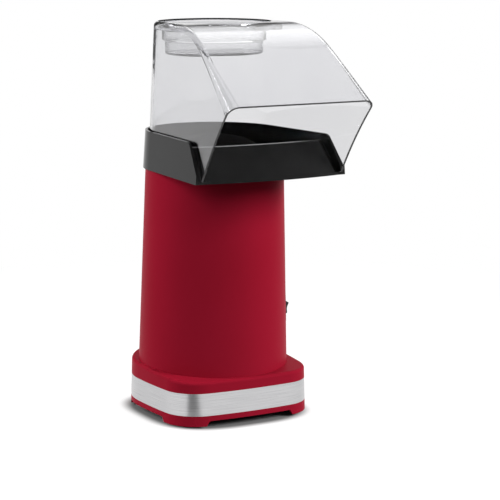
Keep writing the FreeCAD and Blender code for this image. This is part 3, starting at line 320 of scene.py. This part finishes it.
# %% Give every solid its finish
FINISH_OF = {
    "base_plinth": "red_plastic", "body_column": "red_plastic", "steel_band": "band_steel",
    "bottom_plate": "black_plastic", "fan_housing": "black_plastic", "rubber_feet": "foot_rubber",
    "bottom_screws": "screw_steel", "column_screws": "screw_steel", "jacket_screws": "screw_steel",
    "motor_screws": "screw_steel", "switch_body": "switch_black", "rocker_button": "switch_black",
    "cord_gland": "gland_rubber", "chute_tray": "tray_black", "hood": "clear_plastic",
    "measuring_cup": "cup_clear", "popping_chamber": "chamber_aluminium", "chamber_gasket": "gasket_felt",
    "heater_jacket": "jacket_steel", "heater_former": "mica", "heating_coil": "heater_wire",
    "thermostat": "thermostat_ceramic", "thermal_fuse": "thermostat_ceramic", "fan_impeller": "fan_plastic",
    "motor_can": "motor_steel", "motor_magnets": "magnet_ferrite", "motor_armature": "armature_iron",
    "motor_end_cap": "black_plastic", "motor_bushes": "bush_bronze", "rotor_shaft": "shaft_steel",
    "rectifier_board": "board_green",
}


def dress(piece, slot):
    """Give a piece one finish."""
    piece.data.materials.clear()
    piece.data.materials.append(finishes[slot])


for node_name, slot in FINISH_OF.items():
    dress(nodes[node_name], slot)
print("dressed", len(FINISH_OF), "of", len(nodes), "solids")

# %% [markdown]
# ## Where the camera looks
# The photograph was taken from the front left and a little above. Table, room and lamps are placed
# by that view, so its directions come first.

# %% Directions of the view
YAW = math.radians(-28.7)
PITCH = math.radians(8.89)
TARGET = Vector((0, 0.0368, 0.2025))
FORWARD = Vector((-math.sin(YAW), math.cos(YAW), 0))
RIGHT = Vector((math.cos(YAW), math.sin(YAW), 0))
BACKWARD = Vector((0, 0, math.sin(PITCH))) - FORWARD * math.cos(PITCH)


def beside_camera(angle, distance, height):
    """Place at an angle in degrees to the right of the camera, as seen from the part."""
    turn = math.radians(angle)
    place = TARGET + (RIGHT * math.sin(turn) - FORWARD * math.cos(turn)) * distance
    return Vector((place.x, place.y, height))


print("the camera looks along", [round(value, 3) for value in -BACKWARD])

# %% [markdown]
# ## Studio
# The set is a white table in a white room. What the eye sees and what lights the part are kept
# apart, because a room that is bright enough to look white would wash out every shadow. A light
# path tells them apart: it knows whether a ray comes from the camera, a mirror or a clear wall.

# %% Light path mask
def seen_directly(tree):
    """1 where the camera, a mirror or a clear wall looks, and 0 for lighting."""
    path = tree.nodes.new("ShaderNodeLightPath").outputs
    mirrored = number_step(tree, "MAXIMUM", path["Is Camera Ray"], path["Is Glossy Ray"])
    return number_step(tree, "MAXIMUM", mirrored, path["Is Transmission Ray"])


# %% [markdown]
# ## Table
# The table takes the shadow. Its own glow stops under the plinth and rises again just outside it:
# a painted shadow, which keeps the narrow gap below the plinth dark. Far from the part the table only glows,
# so that it meets the wall without a line. From below it is clear, so that the underside can be looked at.

# %% Table
TABLE_SIZE = 12.0
TABLE_GLOW = (0.84, 1.0)
TABLE_GREY = (0.26, 0.0)
TABLE_FADE = (0.3, 0.9)
# Painted shadow under the plinth: its middle, and the reach over which it fades out.
PAINTED_SHADOW_MIDDLE = (0.0, 0.0453, 0.0)
PAINTED_SHADOW_EDGE = (0.078, 0.094)


def outside_painted_shadow(tree, place):
    """Painted shadow: 0 under the plinth, rising to 1 a little way outside its rounded square."""
    sides = vector_step(tree, "ABSOLUTE", vector_step(tree, "SUBTRACT", place, PAINTED_SHADOW_MIDDLE))
    cubes = vector_step(tree, "MULTIPLY", vector_step(tree, "MULTIPLY", sides, sides), sides)
    reach = number_step(tree, "POWER", vector_step(tree, "DOT_PRODUCT", cubes, (1, 1, 0)), 1 / 3)
    return ranged(tree, reach, PAINTED_SHADOW_EDGE, (0, 1), smooth=True)


def table_white():
    """White that fades from a grey with shadows near the part to a plain glow, with a painted shadow under
    the plinth, and is clear from below.
    """
    material, tree, shader = new_material("table_white")
    shader.inputs["Specular IOR Level"].default_value = 0.0
    shader.inputs["Emission Color"].default_value = WHITE
    place = tree.nodes.new("ShaderNodeTexCoord").outputs["Object"]
    away = vector_step(tree, "LENGTH", place)
    tree.links.new(ranged(tree, away, TABLE_FADE, TABLE_GREY), shader.inputs["Base Color"])
    glow = ranged(tree, away, TABLE_FADE, TABLE_GLOW)
    # Painted shadow: the glow is cut under the plinth. The glow is also shown only to the camera, mirrors and
    # clear walls.
    for share in (outside_painted_shadow(tree, place), seen_directly(tree)):
        glow = number_step(tree, "MULTIPLY", glow, share)
    tree.links.new(glow, shader.inputs["Emission Strength"])
    one_way = tree.nodes.new("ShaderNodeMixShader")
    tree.links.new(tree.nodes.new("ShaderNodeNewGeometry").outputs["Backfacing"], one_way.inputs["Fac"])
    tree.links.new(shader.outputs["BSDF"], one_way.inputs[1])
    tree.links.new(tree.nodes.new("ShaderNodeBsdfTransparent").outputs["BSDF"], one_way.inputs[2])
    tree.links.new(one_way.outputs["Shader"], tree.nodes["Material Output"].inputs["Surface"])
    return material


def white_table():
    bpy.ops.mesh.primitive_plane_add(size=TABLE_SIZE, location=(0, 0, 0))
    table = bpy.context.object
    table.name = "table"
    table.data.materials.append(table_white())


white_table()
print("table ready")

# %% [markdown]
# ## Room
# To the camera the room is white. Mirrors see more: a dark ceiling on the camera's side, which
# keeps gloss black from turning grey, a dark ring round the backdrop, which draws the dark lines
# along clear edges, and a soft window high behind, which brightens the shoulder of the hood's roof.

# %% Room
BACKDROP = ((0.78, 1.0), (0.84, 0.12), (0.965, 0.12), (0.985, 1.0))
CEILING = (0.45, 0.8)
CEILING_DARK = 0.08
WINDOW = Vector((0.474, 0.565, 0.676))
WINDOW_EDGE = (0.88, 0.99)
WINDOW_LEVEL = 1.5
ROOM_LIGHT = 0.15


def backdrop_level(tree, along):
    """Level that is white behind the part, dark in a ring round that, and white again further out."""
    return ramped(tree, along, [(position, (level, level, level, 1)) for position, level in BACKDROP])


def ceiling_level(tree, height, along):
    """Level that falls to dark overhead on the camera's side and stays white on the far side."""
    far = number_step(tree, "MAXIMUM", along, 0.0)
    return ranged(tree, number_step(tree, "SUBTRACT", height, far), CEILING, (1.0, CEILING_DARK))


def window_level(tree, direction):
    """Extra level of a soft window high behind the part, which the roof's shoulder mirrors."""
    toward = vector_step(tree, "DOT_PRODUCT", direction, WINDOW)
    return ranged(tree, toward, WINDOW_EDGE, (0.0, WINDOW_LEVEL), smooth=True)


def blend(tree, factor, first, second):
    """Level that goes from the first, a number or a socket, to the second as the factor goes from 0 to 1."""
    mix = tree.nodes.new("ShaderNodeMix")
    if isinstance(first, float):
        mix.inputs["A"].default_value = first
    else:
        tree.links.new(first, mix.inputs["A"])
    tree.links.new(second, mix.inputs["B"])
    tree.links.new(factor, mix.inputs["Factor"])
    return mix.outputs["Result"]


def studio_world():
    """Room that shows its white walls and dark ceiling, and lights as one plain level."""
    world = bpy.data.worlds.new("studio")
    bpy.context.scene.world = world
    world.use_nodes = True
    tree = world.node_tree
    background = tree.nodes["Background"]
    background.inputs["Color"].default_value = WHITE
    direction = tree.nodes.new("ShaderNodeTexCoord").outputs["Generated"]
    height = vector_step(tree, "DOT_PRODUCT", direction, (0, 0, 1))
    along = vector_step(tree, "DOT_PRODUCT", direction, FORWARD)
    room = ceiling_level(tree, height, along)
    framed = number_step(tree, "MULTIPLY", room, backdrop_level(tree, along))
    mirrored = number_step(tree, "ADD", framed, window_level(tree, direction))
    glossy = tree.nodes.new("ShaderNodeLightPath").outputs["Is Glossy Ray"]
    shown = blend(tree, glossy, room, mirrored)
    tree.links.new(blend(tree, seen_directly(tree), ROOM_LIGHT, shown), background.inputs["Strength"])


studio_world()
print("room ready")

# %% [markdown]
# ## Lamps
# Two large soft boxes stand well to the sides, so the round column is brightest at both edges
# and falls off towards its middle. One weak lamp above lights the tray. Mirrors don't see the
# lamps, because hard white streaks would run along the hood's rounded edges.

# %% Lamps
BOX_DISTANCE = 2.0
BOX_HEIGHT = 1.2


def soft_box(name, place, size, power):
    """Square area lamp that faces the middle of the part."""
    light = bpy.data.lights.new(name, "AREA")
    light.size = size
    light.energy = power
    lamp = bpy.data.objects.new(name, light)
    lamp.location = place
    lamp.rotation_euler = (Vector(place) - TARGET).to_track_quat("Z", "Y").to_euler()
    bpy.context.scene.collection.objects.link(lamp)
    lamp.visible_glossy = False


soft_box("left_box", beside_camera(-78, BOX_DISTANCE, BOX_HEIGHT), size=1.2, power=43.0)
soft_box("right_box", beside_camera(68, BOX_DISTANCE, BOX_HEIGHT), size=1.0, power=53.0)
soft_box("top_box", (0.0, 0.0, 2.0), size=0.8, power=6.0)

# %% [markdown]
# ## A dark card
# An upright steel band that is seen from a little above mirrors the table, not the room. A grey
# wedge on the table, which only mirrors see, gives the band the dark stripe at its corner.

# %% Dark card on the table
CARD_NEAR = 0.13
CARD_FAR = 1.6
CARD_LIFT = 0.001
CARD_HALF_ANGLE = 12
CARD_TURN = -11
CARD_GREY = (0.08, 0.08, 0.08, 1)


def dark_card():
    """Grey wedge on the table that widens away from the part, seen only in mirrors."""
    left, right = CARD_TURN - CARD_HALF_ANGLE, CARD_TURN + CARD_HALF_ANGLE
    corners = ((left, CARD_NEAR), (right, CARD_NEAR), (right, CARD_FAR), (left, CARD_FAR))
    shape = bpy.data.meshes.new("dark_card")
    shape.from_pydata([beside_camera(*corner, CARD_LIFT) for corner in corners], [], [(0, 1, 2, 3)])
    card = bpy.data.objects.new("dark_card", shape)
    bpy.context.scene.collection.objects.link(card)
    card.visible_camera = False
    card.visible_diffuse = False
    card.visible_transmission = False
    card.visible_shadow = False
    material, _, shader = new_material("card_grey")
    shader.inputs["Base Color"].default_value = CARD_GREY
    card.data.materials.append(material)


dark_card()
print("card ready")

# %% [markdown]
# ## Camera
# A long lens from about two metres, as in the photograph. The lens and the small shift come from
# fitting a camera to the outlines of the part.

# %% Camera
DISTANCE = 1.965
SENSOR = 36.0
FOCAL_PIXELS = 1899.0
IMAGE_PIXELS = 500
MIDDLE_PIXELS = (218.6, 217.55)


def photo_camera():
    camera = bpy.data.objects.new("camera", bpy.data.cameras.new("camera"))
    camera.location = TARGET + BACKWARD * DISTANCE
    camera.rotation_euler = BACKWARD.to_track_quat("Z", "Y").to_euler()
    camera.data.sensor_width = SENSOR
    camera.data.lens = FOCAL_PIXELS * SENSOR / IMAGE_PIXELS
    camera.data.shift_x = (IMAGE_PIXELS / 2 - MIDDLE_PIXELS[0]) / IMAGE_PIXELS
    camera.data.shift_y = (MIDDLE_PIXELS[1] - IMAGE_PIXELS / 2) / IMAGE_PIXELS
    bpy.context.scene.collection.objects.link(camera)
    bpy.context.scene.camera = camera
    return camera


camera = photo_camera()
print("camera at", [round(value, 3) for value in camera.location], "lens", round(camera.data.lens, 1))

# %% [markdown]
# ## View transform
# The plain view transform keeps colours as they are written.

# %% Finish
bpy.context.scene.view_settings.view_transform = "Standard"
